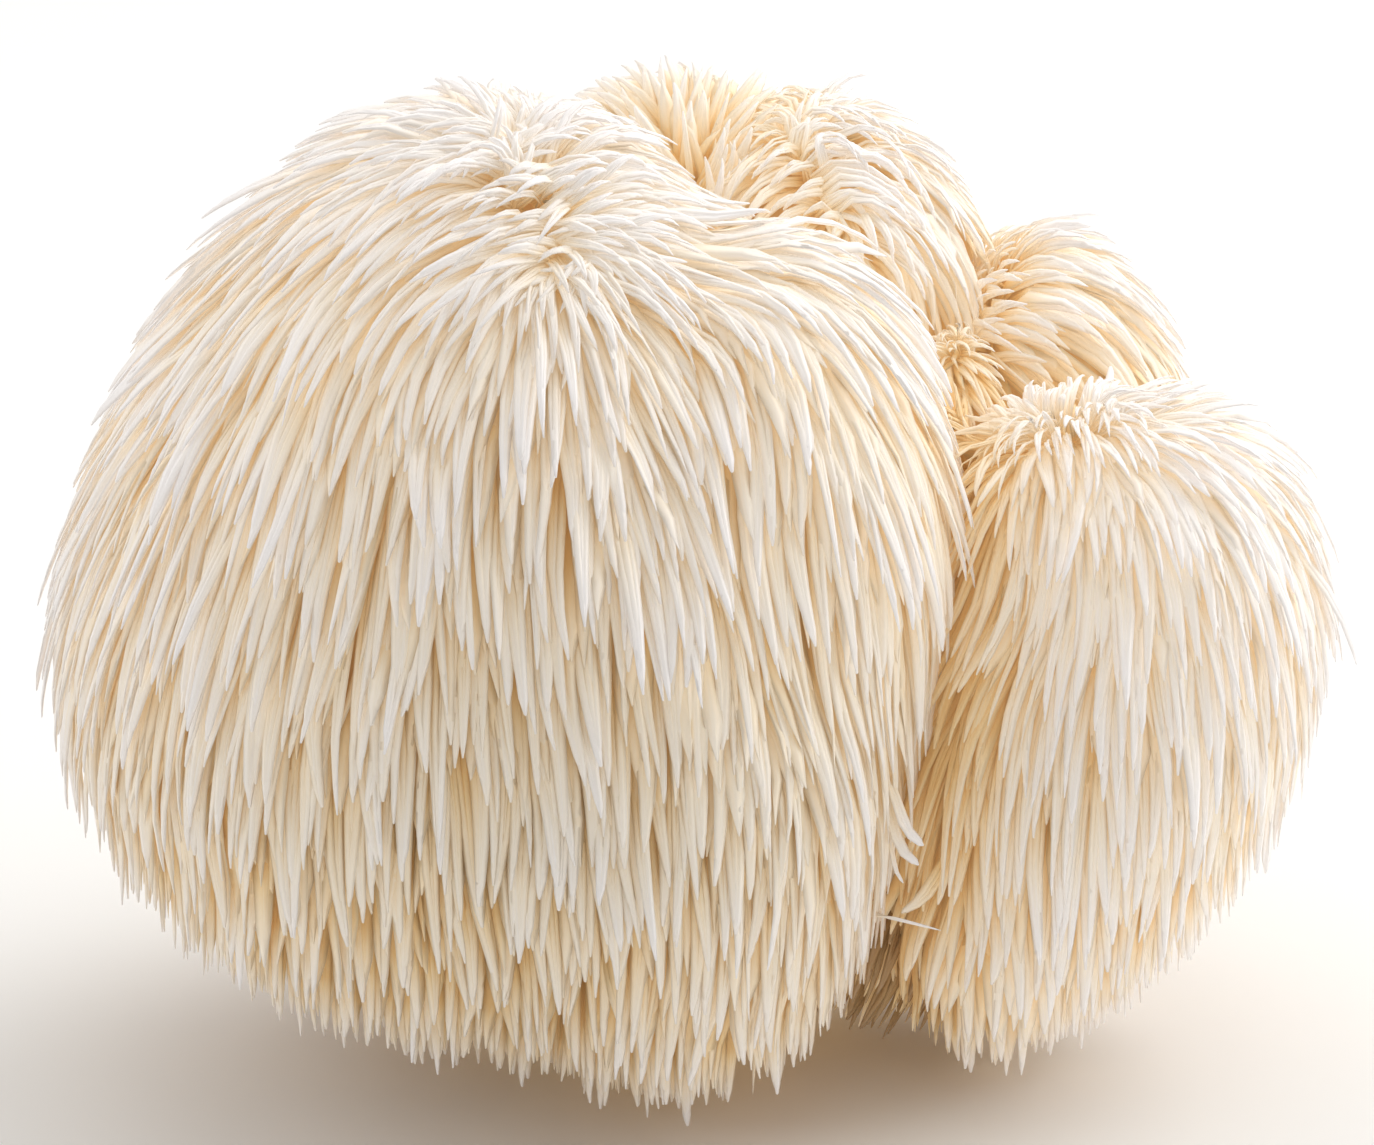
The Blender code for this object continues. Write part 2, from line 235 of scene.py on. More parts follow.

# Colours of a spine, from deep in the coat and near its root to the open tips: its own colour along it, and
# painted shade deep in the coat
SPINE_COLOURS = (
    (0.00, (0.89, 0.62, 0.29, 1.0)),
    (0.12, (0.93, 0.73, 0.44, 1.0)),
    (0.28, (0.96, 0.81, 0.59, 1.0)),
    (0.52, (0.97, 0.88, 0.74, 1.0)),
    (0.76, (0.96, 0.91, 0.85, 1.0)),
    (0.95, (0.95, 0.925, 0.915, 1.0)),
)
OPENNESS_SHARE = 0.7            # how much the colour goes by openness to the light, as painted shade, not place along it
UNLIT_DEPTH = 0.42              # painted shade: how much deeper the colour is where the painted light is least
PATCHES = 0.16                  # how uneven it is from patch to patch, lock to lock and streak to streak
LOCK_TONES = 0.10
STREAKS = 0.26
PATCH_SCALE = 38.0
STREAKS_AROUND = 15.0
STREAKS_ALONG = 1.7
LOCK_STREAKS = (57.0, 31.0)     # sets each lock's streaks apart from the next one's
FINE_STREAKS = 2.6
FINE_STREAKS_SHARE = 0.4
SPINE_RELIEF = 0.25 * MM
SPINE_ROUGHNESS = (0.50, 0.08)  # between streaks, and how much smoother a streak is
SPINE_SHEEN = 0.38
GLOW_SPREAD = 0.8               # how much of the painted glow stays deep down, and how fast it grows outwards
# How light each kind of spine is, the inner ones darker as painted shade, and how much painted shade it has
INNER_SPINES = (0.85, 0.0)
OUTER_SPINES = (1.0, 0.0)
HEEL_SPINES = (0.75, 0.8)

# Colours of the flesh, each between a darker and a paler one
HIDDEN_FLESH = ((0.72, 0.44, 0.15, 1.0), (0.86, 0.62, 0.32, 1.0))
CUT_FLESH = ((0.72, 0.58, 0.40, 1.0), (0.86, 0.77, 0.62, 1.0))
STUB_FLESH = ((0.66, 0.47, 0.27, 1.0), (0.90, 0.79, 0.62, 1.0))
SPONGE_SCALE = 420.0
BLOTCH_SCALE = 55.0
GRAIN_SCALE = 260.0
GRAIN_STRETCH = (1.0, 1.0, 0.18)
SPONGE_RELIEF = 0.8 * MM
CORE_ROUGHNESS = 0.72
STUB_FADE = (1.4, 70.0)         # the stub's colour fades out upwards, from its full share and this fast
CUT_FADE = (1.0, 900.0)         # and so does the cut's

# Camera, from the photo's view
VIEW_ELEVATION = 20
VIEW_DISTANCE = 0.750
VIEW_TARGET = (8 * MM, -10 * MM, 77 * MM)
LENS = 127.7
SENSOR = 36
NEAREST_SEEN = 0.01

# Studio: the floor, the even light all round, and for each lamp its place, size and power
FLOOR_SIZE = 8.0
FLOOR_PAPER = (0.93, 0.93, 0.92, 1.0)
ROOM_LIGHT = (1.0, 0.99, 0.98, 1.0)
ROOM_STRENGTH = 0.49
LAMP_COLOUR = (1.0, 0.99, 0.98)
LAMP_TARGET = (0.0, 0.0, 0.07)
LAMPS = {
    "key_light": ((1.20, 0.50, 1.05), 1.8, 18.0),
    "side_light": ((-1.25, 0.25, 0.85), 1.6, 5.5),
    "top_light": ((0.1, 0.45, 1.3), 1.8, 6.0),
}


class Lobe:
    """One rounded lobe of the mushroom. Its surface is where the spine tips end."""

    def __init__(self, name):
        centre, radii, lean, flare, hang, lift, width, locks = LOBES[name]
        self.centre = np.array(centre) * MM
        self.radii = np.array(radii) * MM
        turn = math.radians(lean)
        self.lean = np.array(((math.cos(turn), 0, math.sin(turn)), (0, 1, 0),
                              (-math.sin(turn), 0, math.cos(turn))))
        self.flare = flare
        self.hang = hang * MM
        self.lift = lift
        self.width = width
        self.locks = locks
        self.size = self.radii.mean()

    def place(self, directions, inset=0.0):
        girth = 1.0 - self.flare * directions[:, 2:3]
        spread = np.hstack((self.radii[:2] * girth, np.full_like(girth, self.radii[2])))
        return self.centre + (directions * (spread - np.reshape(inset, (-1, 1)))) @ self.lean.T

    def level(self, places):
        """Below 1 inside the lobe, 1 at the spine tips and above 1 outside."""
        local = (places - self.centre) @ self.lean
        height = np.clip(local[:, 2] / self.radii[2], -1, 1)
        girth = 1.0 - self.flare * height
        x = local[:, 0] / (self.radii[0] * girth)
        y = local[:, 1] / (self.radii[1] * girth)
        return np.sqrt(x * x + y * y + (local[:, 2] / self.radii[2]) ** 2)


class Head:
    """Lobes that run together softly, with one crown."""

    def __init__(self, name):
        lobe_names, crown_start, crown_end, reach, shading = HEADS[name]
        self.name = name
        self.lobes = [Lobe(lobe_name) for lobe_name in lobe_names]
        self.crown_start = np.array(crown_start) * MM
        self.crown_line = (np.array(crown_end) - np.array(crown_start)) * MM
        self.crown_reach = reach * MM
        self.shading = shading

    def level(self, places):
        """Like a lobe's level, but smooth across the seams."""
        total = sum(np.exp(-lobe.level(places) / SEAM_FILLET) for lobe in self.lobes)
        return -SEAM_FILLET * np.log(np.maximum(total, 1e-30))

    def slope(self, places):
        columns = []
        for axis in np.eye(3) * SLOPE_STEP:
            columns.append((self.level(places + axis) - self.level(places - axis)) / (2 * SLOPE_STEP))
        return np.stack(columns, 1)

    def outward(self, places):
        return unit(self.slope(places))

    def depth(self, places):
        """How deep the places lie under the spine tips, near enough."""
        return (1.0 - self.level(places)) / np.maximum(length(self.slope(places)), 1.0)

    def brought_to(self, places, depth):
        for _ in range(3):
            places = places - self.outward(places) * (depth - self.depth(places))[:, None]
        return places

    def from_crown(self, places, shift=0.0):
        """The way from the nearest place on the crown's line."""
        start = self.crown_start + shift
        spread = self.crown_line @ self.crown_line
        share = np.clip(((places - start) @ self.crown_line) / max(spread, 1e-12), 0, 1)
        return places - start - share[:, None] * self.crown_line

    def nearness(self, places):
        """1 at the crown, 0 from the crown's reach outwards."""
        return smooth_step(1.0 - length(self.from_crown(places)) / self.crown_reach)

    def flow(self, places, lobe, shift):
        """The way the spines lie: along the surface away from the crown at first, then straight down."""
        out = self.outward(places)
        away = self.from_crown(places, shift)
        hang = smooth_step(length(away) / lobe.hang)[:, None]
        away = unit(away - out * dot(away, out)[:, None])
        way = away * (1.0 - hang) + np.array((0.0, 0.0, -1.0)) * (FIRST_FALL + hang)
        inward = np.minimum(dot(way, out), 0.0)[:, None]
        return unit(way - out * inward)


def length(vectors):
    return np.sqrt((vectors * vectors).sum(1))


def unit(vectors):
    return vectors / np.maximum(length(vectors), 1e-9)[:, None]


def dot(a, b):
    return (a * b).sum(1)


def smooth_step(x):
    x = np.clip(x, 0.0, 1.0)
    return x * x * (3.0 - 2.0 * x)


def more_at_crown(amounts, near):
    """What there is of something everywhere, and the further amount that grows towards a crown."""
    return amounts[0] + amounts[1] * near


def waves(places, size, seed):
    """A smooth wandering value, about -1 to 1, that changes over the given size."""
    rng = np.random.default_rng(seed)
    total = np.zeros(len(places))
    for _ in range(WAVES):
        way = rng.normal(size=3)
        way = way / np.linalg.norm(way) * 2.0 * math.pi / (size * rng.uniform(*WAVE_SIZES))
        total = total + np.sin(places @ way + rng.uniform(0, 2 * math.pi))
    return total / WAVES_HEIGHT


def turned(vectors, axes, angles):
    """Each vector turned by its angle about its axis."""
    c = np.cos(angles)[:, None]
    s = np.sin(angles)[:, None]
    along = dot(axes, vectors)[:, None]
    return vectors * c + np.cross(axes, vectors) * s + axes * along * (1 - c)


def spiral_directions(count):
    """Evenly spread directions, set out on a golden-angle spiral."""
    i = np.arange(count)
    z = 1.0 - 2.0 * (i + 0.5) / count
    ring = np.sqrt(1.0 - z * z)
    turn = math.pi * (3.0 - math.sqrt(5.0)) * i
    return np.stack((ring * np.cos(turn), ring * np.sin(turn), z), 1)


def spread_tips(head, lobe, count, rng):
    """Places all over a lobe, apart from where it runs into another lobe of its head."""
    directions = spiral_directions(count)
    directions = unit(directions + rng.normal(size=directions.shape) * TIP_SCATTER / math.sqrt(count))
    tips = lobe.place(directions)
    keep = np.ones(len(tips), bool)
    for other in head.lobes:
        if other is not lobe:
            keep &= other.level(tips) > OWN_LOBE
    return tips[keep]


def lock_tips(head, lobe, heads, coat, rng):
    """Where the locks of one lobe end, but not inside the next head, the stub or the floor."""
    wide = spread_tips(head, lobe, lobe.locks, rng)
    tips = wide[head.nearness(wide) < CROWN_START]
    if coat is OUTER_COAT:
        fine = spread_tips(head, lobe, round(CROWN_CLOSENESS * lobe.locks), rng)
        tips = np.concatenate((tips, fine[head.nearness(fine) >= CROWN_START]))
    depth = coat.sunk + rng.uniform(-TIPS_OUT, TIPS_IN, len(tips))
    loose = rng.uniform(0, 1, len(tips)) < LOOSE_SHARE
    tips = head.brought_to(tips, depth - loose * rng.uniform(0, LOOSE_TIPS, len(tips)))
    keep = tips[:, 2] > FLOOR_GAP
    keep &= length(head.from_crown(tips)) > BARE_CROWN * head.crown_reach
    for other in heads:
        if other is not head:
            keep &= other.depth(tips) < SEAM_OVERLAP
    x = tips[:, 0] / (STUB_RADII[0] + STUB_CLEARANCE)
    y = tips[:, 1] / (STUB_RADII[1] + STUB_CLEARANCE)
    keep &= (tips[:, 2] > STUB_HEIGHT) | (x * x + y * y > 1.0)
    return tips[keep]


def crown_shift(head, tips, rng):
    """How far beside the crown's line each lock starts, so that tufts of them cross each other."""
    at_core = smooth_step(2.0 - length(head.from_crown(tips)) / CROWN_CORE)[:, None]
    tufts = np.stack([waves(tips, TUFT_SIZE, TUFT_SEED + axis) for axis in range(3)], 1)
    crossing = OUTER_CROSSING + (1.0 - OUTER_CROSSING) * at_core
    return rng.normal(size=tips.shape) * CROWN_SCATTER + tufts * CROWN_CROSSING * head.crown_reach * crossing


def leaning_together(lobe, tips, near, rng):
    """How far each lock's tip is drawn towards the middle of its bundle, and how proud the bundle is."""
    middles = lobe.place(spiral_directions(max(FEWEST_BUNDLES, round(lobe.locks / BUNDLE))))
    middles = middles + rng.normal(size=middles.shape) * BUNDLE_SCATTER
    nearest = np.array([np.argmin(((tip - middles) ** 2).sum(1)) for tip in tips], int)
    draw = BUNDLE_DRAW * rng.uniform(*DRAW_RANGE, len(tips)) * (1.0 - CROWN_CALM * near)
    rise = rng.normal(0.0, BUNDLE_RISE, len(middles))
    return (tips - middles[nearest]) * draw[:, None], rise[nearest] * (1.0 - CROWN_CALM * near)


def lock_paths(head, lobe, tips, coat, rng):
    """The middle line of each lock, from its root in the flesh to its tip, and how slim the lock is."""
    near = head.nearness(tips)
    shift = crown_shift(head, tips, rng)
    room = CROWN_ROOM * length(head.from_crown(tips, shift)) + SHORTEST_LOCK
    apart, rise = leaning_together(lobe, tips, near, rng)
    rise = rise * np.clip(1.0 + UNDERSIDE_CALM * head.outward(tips)[:, 2], UNDERSIDE_RISE, 1.0)
    tips = head.brought_to(tips - apart, head.depth(tips) - rise)
    full = min(coat.long, lobe.size) * rng.uniform(*LENGTH_RANGE, len(tips))
    reach = np.minimum(full, room)
    sunk = head.depth(tips)
    bury = min(coat.bury, DEEPEST_ROOT * lobe.size) * (1.0 - CROWN_BURY * near) + lobe.lift * reach
    arch = ARCH_RISE * head.crown_reach * near * rng.uniform(*ARCH_RANGE, len(tips)) * reach / full
    own_sway = rng.normal(0.0, more_at_crown(OWN_SWAY, near))
    curl = rng.normal(0.0, more_at_crown(CURL, near))
    path = [tips]
    place = tips
    for step in range(1, LOCK_STEPS + 1):
        from_tip = step / LOCK_STEPS
        shared_sway = more_at_crown(SHARED_SWAY, near) * waves(place, SWAY_SIZE, SWAY_SEED)
        out = head.outward(place)
        way = turned(head.flow(place, lobe, shift), out,
                     own_sway + shared_sway + curl * (1.0 - from_tip) ** 2)
        place = place - way * (reach / LOCK_STEPS)[:, None] + apart / LOCK_STEPS
        dive = (bury - sunk) * from_tip ** more_at_crown(ROOT_DIVE, near)
        error = sunk + dive - arch * math.sin(math.pi * from_tip ** ARCH_LEAN) - head.depth(place)
        hangs_free = smooth_step((dot(way, out) - FREE_START) / FREE_SPREAD)
        error = np.where(error > 0, error, error * (1.0 - hangs_free))
        place = place - head.outward(place) * error[:, None]
        path.append(place)
    slimness = 1.0 - (1.0 - CROWN_WIDTH) * smooth_step(near / CROWN_START)
    return np.stack(path[::-1], 1), slimness * np.clip(reach / full, SHORT_SHARE, 1.0) ** SHORT_SLIMNESS


def along_path(paths, u):
    """Places on each path at its own u, from 0 at the root to 1 at the tip, on a smooth curve."""
    last = paths.shape[1] - 1
    spot = np.clip(u, 0, 1) * last
    k = np.minimum(spot.astype(int), last - 1)
    f = (spot - k)[:, None]
    rows = np.arange(len(paths))
    a = paths[rows, np.maximum(k - 1, 0)]
    b = paths[rows, k]
    c = paths[rows, k + 1]
    d = paths[rows, np.minimum(k + 2, last)]
    return 0.5 * (2 * b + (c - a) * f + (2 * a - 5 * b + 4 * c - d) * f ** 2
                  + (3 * b - a - 3 * c + d) * f ** 3)


def lock_frame(head, lobe, paths, at, roll):
    """A place on each lock's middle line, the way ahead there, and the lock's own side and up."""
    here = along_path(paths, at)
    ahead = unit(along_path(paths, np.minimum(at + LOOK_AHEAD, 1.0)) - along_path(paths, at - LOOK_AHEAD))
    level_out = here - lobe.centre
    level_out[:, 2] = 0.0
    up = head.outward(here) + LEVEL_FACING * unit(level_out)
    up = unit(up - ahead * dot(up, ahead)[:, None])
    up = turned(up, ahead, roll)
    return here, ahead, np.cross(ahead, up), up


def strand_rings(head, lobe, others, paths, slimness, coat, rng):
    """Rings of points for every spine, as spines by rings by sides, the root and tip points, and how
    open to the light each ring lies, which the colour turns into painted shade: 1 at the level of the spine
    tips and 0 deep between them."""
    locks = len(paths)
    fullness = lobe.width * rng.uniform(*LOCK_FULLNESS, locks) * slimness
    roll = rng.normal(0, LOCK_ROLL, locks)
    twist = rng.normal(0, LOCK_TWIST, locks)
    strands = []
    for number in range(coat.strands):
        across = (number - (coat.strands - 1) / 2) * coat.spacing
        across = fullness * (across + rng.normal(0, STRAND_STRAY, locks) * coat.spacing)
        rise = rng.normal(0, STRAND_RISE, locks) * coat.width * coat.flat * (coat.strands > 1)
        width = fullness * coat.width * rng.uniform(*STRAND_WIDTHS, locks)
        short = rng.uniform(0.0, STRAND_SHORTER, locks) * (coat.strands > 1)
        rings = []
        open_to_light = []
        for u, spread, girth in coat.rings:
            here, ahead, side, up = lock_frame(head, lobe, paths, u * (1.0 - short), roll + twist * u)
            middle = here + side * (across * spread)[:, None] + up * (rise * spread)[:, None]
            rings.append(ring_points(middle, side, up, width * girth, coat.flat))
            # Painted crease shade near a neighbouring head
            shaded = head.shading * crease(middle, others)
            # Painted shade: the deeper a ring lies between the spines, the darker its colour
            open_to_light.append(1.0 - head.depth(middle) / DARKEST_SHADE_DEPTH - shaded)
            if u == 0.0:
                roots = middle - ahead * (width * ROOT_POINT)[:, None]
        ends = middle + ahead * (width * TIP_POINT)[:, None]
        strands.append((np.stack(rings, 1), roots, ends, np.stack(open_to_light, 1)))
    return tuple(np.concatenate(group) for group in zip(*strands))


def crease(places, others):
    """Where painted crease shade falls: 1 against a neighbouring head, 0 well away from all of them."""
    nearest = np.min([other.level(places) for other in others], 0)
    return smooth_step((1.0 + CREASE_WIDTH - nearest) / CREASE_WIDTH)


def ring_points(middle, side, up, width, flat):
    """One ring round a spine, flatter than it is wide."""
    turns = np.arange(STRAND_SIDES) * 2 * math.pi / STRAND_SIDES
    across = 0.5 * width[:, None] * np.cos(turns)
    rise = 0.5 * width[:, None] * np.sin(turns) * flat
    return middle[:, None, :] + side[:, None, :] * across[:, :, None] + up[:, None, :] * rise[:, :, None]


def spine_faces(coat):
    """The walls and closed ends of one spine as corner numbers, and each corner's place on the spine:
    how many sides round, and from 0 at the root to 1 at the tip."""
    sides = STRAND_SIDES
    top = (len(coat.rings) - 1) * sides
    root = top + sides
    walls = []
    walls_uv = []
    for level in range(len(coat.rings) - 1):
        low = coat.rings[level][0]
        high = coat.rings[level + 1][0]
        for side in range(sides):
            after = (side + 1) % sides
            walls.append((level * sides + side, level * sides + after,
                          (level + 1) * sides + after, (level + 1) * sides + side))
            walls_uv.append(((side, low), (side + 1, low), (side + 1, high), (side, high)))
    caps = []
    caps_uv = []
    for side in range(sides):
        after = (side + 1) % sides
        caps.append((after, side, root))
        caps_uv.append(((side + 1, 0.0), (side, 0.0), (side + 0.5, 0.0)))
        caps.append((top + side, top + after, root + 1))
        caps_uv.append(((side, 1.0), (side + 1, 1.0), (side + 0.5, 1.0)))
    return walls, walls_uv, caps, caps_uv


def spine_mesh(name, rings, roots, ends, openness, coat, rng):
    """All the spines as one mesh, with a closed root and a closed tip on each."""
    count, levels, sides = rings.shape[:3]
    points = np.concatenate((rings.reshape(count, -1, 3), roots[:, None], ends[:, None]), 1)
    walls, walls_uv, caps, caps_uv = spine_faces(coat)
    first = np.arange(count)[:, None] * (levels * sides + 2)
    corners = np.concatenate((np.ravel(walls), np.ravel(caps)))
    loops = (first + corners[None, :]).ravel()
    sizes = np.tile(np.array([4] * len(walls) + [3] * len(caps)), count)
    starts = np.concatenate(((0,), np.cumsum(sizes)[:-1]))
    mesh = bpy.data.meshes.new(name)
    mesh.vertices.add(count * (levels * sides + 2))
    mesh.vertices.foreach_set("co", points.astype(np.float32).ravel())
    mesh.loops.add(len(loops))
    mesh.loops.foreach_set("vertex_index", loops.astype(np.int32))
    mesh.polygons.add(len(sizes))
    mesh.polygons.foreach_set("loop_start", starts.astype(np.int32))
    mesh.update(calc_edges=True)
    mesh.polygons.foreach_set("use_smooth", np.ones(len(sizes), bool))
    local = np.concatenate((np.reshape(walls_uv, (-1, 2)), np.reshape(caps_uv, (-1, 2))))
    add_spine_maps(mesh, local * (1.0 / sides, 1.0), count, rng)
    at_points = np.concatenate((np.repeat(openness, sides, 1), openness[:, :1], openness[:, -1:]), 1)
    shown = mesh.attributes.new("openness", "FLOAT", "POINT")
    shown.data.foreach_set("value", at_points.astype(np.float32).ravel())
    mesh.validate()
    return mesh


def add_spine_maps(mesh, local, count, rng):
    """The baking map, a map that runs round and along each spine, and a tone for each spine."""
    columns = math.ceil(math.sqrt(count * 4))
    rows = math.ceil(count / columns)
    column = (np.arange(count) % columns)[:, None]
    row = (np.arange(count) // columns)[:, None]
    u = (column + MAP_MARGIN + (1 - 2 * MAP_MARGIN) * local[None, :, 0]) / columns
    v = (row + MAP_MARGIN + (1 - 2 * MAP_MARGIN) * local[None, :, 1]) / rows
    bake = mesh.uv_layers.new(name="OFBake")
    bake.data.foreach_set("uv", np.stack((u, v), -1).astype(np.float32).ravel())
    strand = mesh.uv_layers.new(name="strand")
    strand.data.foreach_set("uv", np.tile(local, (count, 1)).astype(np.float32).ravel())
    tone = mesh.attributes.new("tone", "FLOAT", "CORNER")
    tone.data.foreach_set("value", np.repeat(rng.uniform(0, 1, count), len(local)).astype(np.float32))


def grow_coat(head, heads, coat, rng):
    """One layer of locks over a head, as meshes of neighbouring locks."""
    parts = []
    others = [other for other in heads if other is not head]
    for lobe in head.lobes:
        tips = lock_tips(head, lobe, heads, coat, rng)
        paths, slimness = lock_paths(head, lobe, tips, coat, rng)
        parts.append(strand_rings(head, lobe, others, paths, slimness, coat, rng))
    if coat is OUTER_COAT:
        for slimness, path in STRAYS.get(head.name, ()):
            paths = np.array([path]) * MM
            parts.append(strand_rings(head, head.lobes[0], others, paths, slimness, coat, rng))
    rings, roots, ends, openness = (np.concatenate(group) for group in zip(*parts))
    rings[..., 2] = np.maximum(rings[..., 2], FLOOR_GAP * 0.5)
    middle = ends.mean(0)
    order = np.argsort(np.arctan2(ends[:, 1] - middle[1], ends[:, 0] - middle[0]))
    pieces = []
    shares = np.array_split(order, math.ceil(len(order) / MOST_SPINES_IN_A_PIECE))
    for number, share in enumerate(shares):
        name = f"{head.name}_{coat.name}_{number + 1}"
        mesh = spine_mesh(name, rings[share], roots[share], ends[share], openness[share], coat, rng)
        spines = bpy.data.objects.new(name, mesh)
        bpy.context.scene.collection.objects.link(spines)
        pieces.append(spines)
    return pieces


def grow_spines(chosen, heads, coat):
    pieces = []
    for head in chosen:
        rng = np.random.default_rng(FIRST_SEED + heads.index(head))
        pieces += grow_coat(head, heads, coat, rng)
    return pieces


def deselect_all():
    for thing in bpy.context.selected_objects:
        thing.select_set(False)


def flesh_lobe(lobe):
    """A lobe's flesh, drawn in under the spines and most of all where they hang free."""
    bpy.ops.mesh.primitive_uv_sphere_add(segments=FLESH_SEGMENTS, ring_count=FLESH_RINGS, radius=1.0)
    shape = bpy.context.active_object
    directions = unit(np.array([vertex.co[:] for vertex in shape.data.vertices]))
    under = np.clip((-directions[:, 2] - UNDERSIDE_START) / UNDERSIDE_SPREAD, 0, 1)
    hang_inset = min(FLESH_HANG_INSET, HANG_INSET_SHARE * lobe.size) * under
    places = lobe.place(directions, min(FLESH_INSET, INSET_SHARE * lobe.size) + hang_inset)
    shape.data.vertices.foreach_set("co", places.astype(np.float32).ravel())
    return shape


def flesh_core(lobes):
    """The flesh under the spines: the lobes run together, on the stub with its flat cut."""
    deselect_all()
    shapes = [flesh_lobe(lobe) for lobe in lobes]
    shapes.append(stub_shape())
    deselect_all()
    for shape in shapes:
        shape.select_set(True)
    bpy.context.view_layer.objects.active = shapes[0]
    bpy.ops.object.join()
    core = bpy.context.active_object
    core.name = "flesh_core"
    core.data.name = "flesh_core"
    merge = core.modifiers.new("run together", "REMESH")
    merge.mode = "VOXEL"
    merge.voxel_size = FLESH_VOXEL
    bpy.ops.object.modifier_apply(modifier=merge.name)
    soften = core.modifiers.new("soften seams", "SMOOTH")
    soften.factor = SOFTENING
    soften.iterations = SOFTENING_ROUNDS
    bpy.ops.object.modifier_apply(modifier=soften.name)
    cut_flat()
    bpy.ops.object.shade_smooth_by_angle(angle=math.radians(SHARP_EDGE))
    return core


def stub_shape():
    """The stub, a little longer than it will be, so that the cut goes through it."""
    bpy.ops.mesh.primitive_cone_add(vertices=STUB_SIDES, radius1=1.0, radius2=STUB_TOP,
                                    depth=STUB_HEIGHT + STUB_SPARE)
    stub = bpy.context.active_object
    for vertex in stub.data.vertices:
        turn = math.atan2(vertex.co.y, vertex.co.x)
        fluting = sum((depth * math.sin(folds * turn + start) for folds, depth, start in STUB_FOLDS), 1.0)
        vertex.co.x *= STUB_RADII[0] * fluting
        vertex.co.y *= STUB_RADII[1] * fluting
        vertex.co.z += (STUB_HEIGHT - STUB_SPARE) / 2
    return stub


def cut_flat():
    """Slices the stub off flat where the mushroom rests."""
    bpy.ops.object.mode_set(mode="EDIT")
    bpy.ops.mesh.select_all(action="SELECT")
    bpy.ops.mesh.bisect(plane_co=(0, 0, 0.0), plane_no=(0, 0, 1), use_fill=True, clear_inner=True)
    bpy.ops.object.mode_set(mode="OBJECT")


class Shade:
    """A value in a material, so that the maths on it reads as maths."""

    def __init__(self, finish, socket):
        self.finish = finish
        self.socket = socket

    def math(self, operation, *others):
        inputs = dict(enumerate((self,) + others))
        return self.finish.node("ShaderNodeMath", {"operation": operation}, inputs)

    def __add__(self, other):
        return self.math("ADD", other)

    def __radd__(self, other):
        return self.math("ADD", other)

    def __sub__(self, other):
        return self.math("SUBTRACT", other)

    def __rsub__(self, other):
        return (self * -1.0) + other

    def __mul__(self, other):
        return self.math("MULTIPLY", other)

    def __rmul__(self, other):
        return self.math("MULTIPLY", other)

    def without_sign(self):
        return self.math("ABSOLUTE")

    def clipped(self):
        return self.math("MAXIMUM", 0.0).math("MINIMUM", 1.0)


class Finish:
    """A new material with its main shader, and the ways to feed it."""

    def __init__(self, name):
        self.material = bpy.data.materials.new(name)
        self.material.use_nodes = True
        self.tree = self.material.node_tree
        self.shader = self.tree.nodes["Principled BSDF"]

    def node(self, kind, settings=None, inputs=None, output=0):
        made = self.tree.nodes.new(kind)
        for key, value in (settings or {}).items():
            if key == "stops":
                set_stops(made.color_ramp, value)
            else:
                setattr(made, key, value)
        for key, value in (inputs or {}).items():
            self.feed(made.inputs[key], value)
        return Shade(self, made.outputs[output])

    def feed(self, socket, value):
        if isinstance(value, Shade):
            self.tree.links.new(value.socket, socket)
        else:
            socket.default_value = value

    def mix(self, share, first, second):
        """A colour between two colours."""
        return self.node("ShaderNodeMix", {"data_type": "RGBA"}, {0: share, 6: first, 7: second}, output=2)

    def noise(self, at, scale, detail, **more):
        inputs = {"Vector": at, "Scale": scale, "Detail": detail, **more}
        return self.node("ShaderNodeTexNoise", {"noise_dimensions": "3D"}, inputs)

    def bump(self, strength, distance, height):
        inputs = {"Strength": strength, "Distance": distance, "Height": height}
        return self.node("ShaderNodeBump", {}, inputs)

    def own(self, attribute):
        """A value that the piece itself carries."""
        return self.node("ShaderNodeAttribute", {"attribute_name": attribute}, {}, output=2)

    def object_place(self):
        return self.node("ShaderNodeTexCoord", {}, {}, output=3)

    def parts_of(self, vector):
        """The three numbers of a place."""
        first = self.node("ShaderNodeSeparateXYZ", {}, {0: vector})
        outputs = first.socket.node.outputs
        return first, Shade(self, outputs[1]), Shade(self, outputs[2])

    def set(self, **values):
        for key, value in values.items():
            self.feed(self.shader.inputs[key.replace("_", " ")], value)


def set_stops(ramp, stops):
    while len(ramp.elements) < len(stops):
        ramp.elements.new(0.5)
    for element, (position, colour) in zip(ramp.elements, stops):
        element.position = position
        element.color = colour


